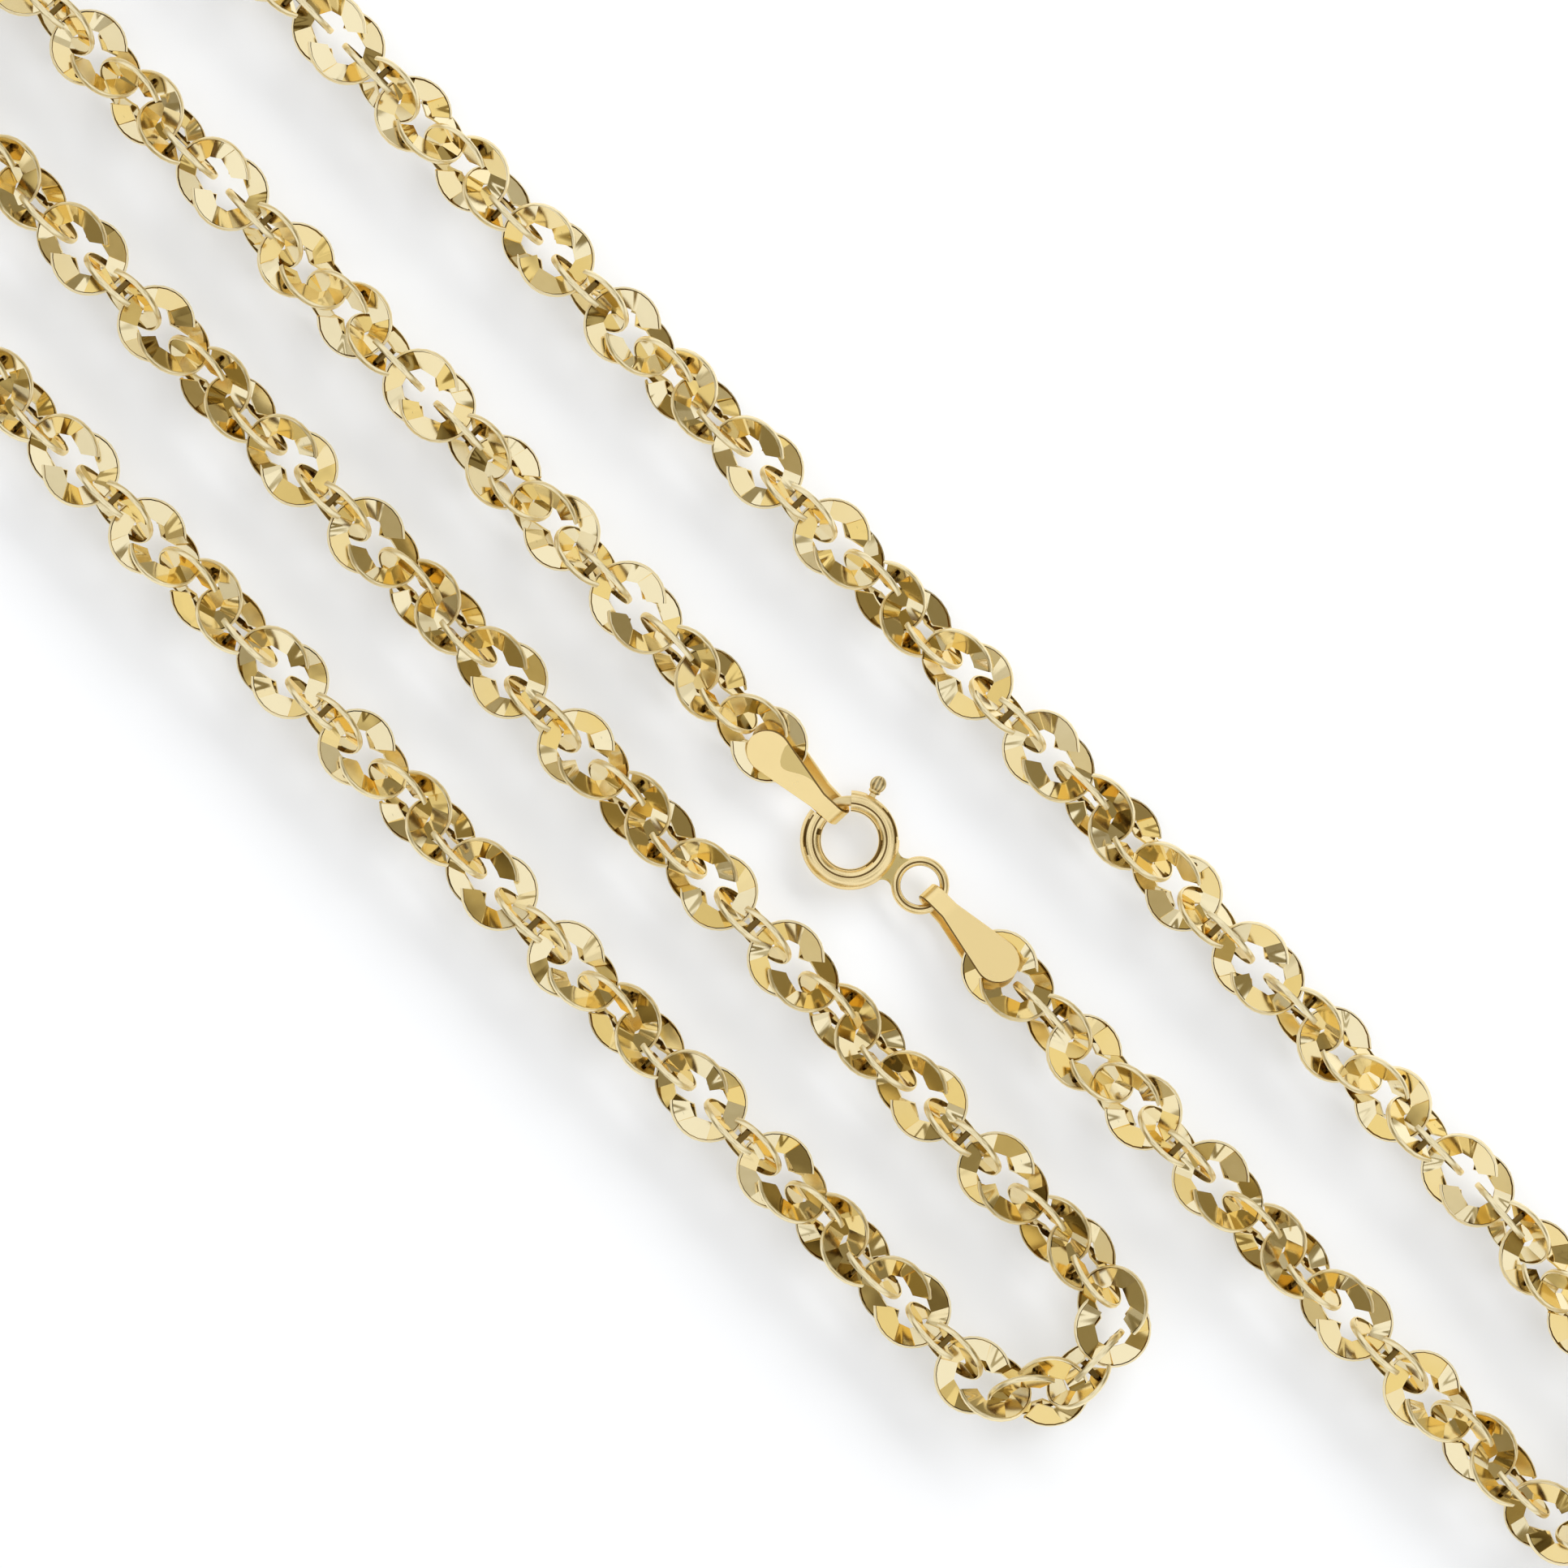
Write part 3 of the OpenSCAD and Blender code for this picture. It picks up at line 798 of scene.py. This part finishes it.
    def execute(self, context):
        settings = context.scene.neck_chain
        thick = settings.clasp.sheet / MM
        half_gap = settings.links.ring_gap / MM / 2
        inside = self.LEAF + thick / 2
        places, _ = lay()
        first, last = fold_points()
        ahead = (places[2] - places[0]) / np.linalg.norm(places[2] - places[0])
        behind = (places[-1] - places[-3]) / np.linalg.norm(places[-1] - places[-3])
        # Ramp from the painted shaded tone of the plate gold to its lit tone.
        tones = ((0.15, PLATE_SHADE), (0.6, settings.colours.plate))
        material = gold("plate_polish_and_painted_shade", tones, PLATE_LINE, rough=0.25, blur=0, grain=160, bump=0)
        for name, fold, hole, roll, back, shaded in (
            ("tongue_ring_side", first, places[1] - ahead * half_gap,
             self.RING_ROLL, self.RING_BACK, True),
            ("tongue_eyelet_side", last, places[-2] + behind * half_gap,
             self.EYE_ROLL, self.EYE_BACK, False),
        ):
            heading = hole - fold
            length = np.linalg.norm(heading)
            tongue = Build()
            tongue.add(*self.sheet(length - back, thick, shaded))
            tongue.add(*post(length, 0, inside, self.RIVET_R, self.RIVET_SIDES))
            m = turned(roll, heading)
            new_piece(name + "_plate", tongue.cloud() @ m.T + fold, tongue.faces, tongue.smooth,
                      tongue.tone, material, "necklace", name, sharp=30)
        return {"FINISHED"}


class CHAIN_OT_stage(bpy.types.Operator):
    """Makes the floor, the studio light and the camera"""
    bl_idname = "neck_chain.stage"
    bl_label = "Stage"

    def key_light(self, scene):
        """Low wide light from one side, which the gold doesn't reflect."""
        data = bpy.data.lights.new("key", "AREA")
        data.shape = "RECTANGLE"
        data.size, data.size_y = KEY_SIZE
        data.energy = KEY_POWER
        lamp = bpy.data.objects.new("key", data)
        lamp.location = KEY_AT
        lamp.rotation_euler = (-Vector(KEY_AT)).to_track_quat("-Z", "Y").to_euler()
        lamp.visible_glossy = False
        scene.collection.objects.link(lamp)

    def floor(self, scene, colour):
        """Pale plain floor that glows a little, so that its far parts stay white."""
        mesh = bpy.data.meshes.new("floor")
        half = FLOOR_HALF
        mesh.from_pydata([(-half, -half, 0), (half, -half, 0), (half, half, 0), (-half, half, 0)],
                         [], [(0, 1, 2, 3)])
        material = bpy.data.materials.new("floor_white")
        material.use_nodes = True
        tree = material.node_tree
        shader = tree.nodes["Principled BSDF"]
        shader.inputs["Roughness"].default_value = FLOOR_ROUGHNESS
        shader.inputs["Emission Color"].default_value = FLOOR_GLOW
        shader.inputs["Emission Strength"].default_value = GLOW_STRENGTH
        place = node(tree, "ShaderNodeTexCoord", (-900, 0))
        noise = node(tree, "ShaderNodeTexNoise", (-700, 0), Scale=FLOOR_GRAIN, Detail=1.0)
        ramp = ramp_node(tree, (-450, 0), ((0, [c * FLOOR_DRIFT for c in colour]), (1, colour)))
        tree.links.new(place.outputs["Object"], noise.inputs["Vector"])
        tree.links.new(noise.outputs["Fac"], ramp.inputs["Fac"])
        tree.links.new(ramp.outputs["Color"], shader.inputs["Base Color"])
        mesh.materials.append(material)
        piece = bpy.data.objects.new("floor", mesh)
        scene.collection.objects.link(piece)

    def studio(self, scene):
        """World of one bright dome with dark cards and a dark horizon, for the gold to reflect."""
        world = bpy.data.worlds.new("studio")
        world.use_nodes = True
        tree = world.node_tree
        place = node(tree, "ShaderNodeTexCoord", (-1500, 0))
        split = node(tree, "ShaderNodeSeparateXYZ", (-1300, -200))
        tree.links.new(place.outputs["Generated"], split.inputs[0])
        rise = node(tree, "ShaderNodeMapRange", (-1100, -200), **STUDIO_RISE)
        rise.interpolation_type = "SMOOTHSTEP"
        tree.links.new(split.outputs["Z"], rise.inputs["Value"])
        level = rise.outputs["Result"]
        for i, (way, inner, outer, tone) in enumerate(STUDIO_CARDS):
            dot = node(tree, "ShaderNodeVectorMath", (-900, -250 * i))
            dot.operation = "DOT_PRODUCT"
            dot.inputs[1].default_value = Vector(way).normalized()
            tree.links.new(place.outputs["Generated"], dot.inputs[0])
            edge = node(tree, "ShaderNodeMapRange", (-700, -250 * i),
                        From_Min=math.cos(math.radians(outer)),
                        From_Max=math.cos(math.radians(inner)))
            edge.interpolation_type = "SMOOTHSTEP"
            tree.links.new(dot.outputs["Value"], edge.inputs["Value"])
            level = mix_node(
                tree, "FLOAT", (-500 + 40 * i, -250 * i), edge.outputs["Result"], level, tone)
        warmth = ramp_node(tree, (100, 0), STUDIO_TINTS)
        tree.links.new(level, warmth.inputs["Fac"])
        tree.links.new(warmth.outputs["Color"], tree.nodes["Background"].inputs["Color"])
        scene.world = world

    def camera(self, scene):
        """Camera that looks straight down on the photo's part of the chain."""
        data = bpy.data.cameras.new("camera")
        data.lens, data.sensor_width = LENS, FILM
        data.clip_start, data.clip_end = CLIP
        camera = bpy.data.objects.new("camera", data)
        camera.location = CAMERA_AT
        camera.rotation_euler = (0, 0, math.radians(CAMERA_TURN))
        scene.collection.objects.link(camera)
        scene.camera = camera

    def execute(self, context):
        scene = context.scene
        self.floor(scene, scene.neck_chain.colours.floor)
        self.studio(scene)
        self.key_light(scene)
        self.camera(scene)
        scene.view_settings.view_transform = "Standard"
        return {"FINISHED"}


class CHAIN_PT_panel(bpy.types.Panel):
    """Shows the chain's sizes and colours, and a button for each group of pieces"""
    bl_idname = "CHAIN_PT_panel"
    bl_label = "Neck chain"
    bl_space_type = "VIEW_3D"
    bl_region_type = "UI"
    bl_category = "Neck chain"

    def draw(self, context):
        settings = context.scene.neck_chain
        for group in (settings.links, settings.clasp, settings.colours):
            for key in group.bl_rna.properties.keys():
                if key not in ("rna_type", "name"):
                    self.layout.prop(group, key)
        for operator in OPERATORS:
            self.layout.operator(operator.bl_idname)


OPERATORS = (
    CHAIN_OT_stage, CHAIN_OT_links, CHAIN_OT_spring_ring, CHAIN_OT_trigger, CHAIN_OT_tongues,
)
CLASSES = (LinkSizes, ClaspSizes, GoldColours, ChainSettings) + OPERATORS + (CHAIN_PT_panel,)


def register():
    for cls in CLASSES:
        bpy.utils.register_class(cls)
    bpy.types.Scene.neck_chain = bpy.props.PointerProperty(type=ChainSettings)


def unregister():
    del bpy.types.Scene.neck_chain
    for cls in reversed(CLASSES):
        bpy.utils.unregister_class(cls)


def main():
    register()
    bpy.ops.neck_chain.stage()
    bpy.ops.neck_chain.links()
    bpy.ops.neck_chain.spring_ring()
    bpy.ops.neck_chain.trigger()
    bpy.ops.neck_chain.tongues()


if __name__ == "__main__":
    main()
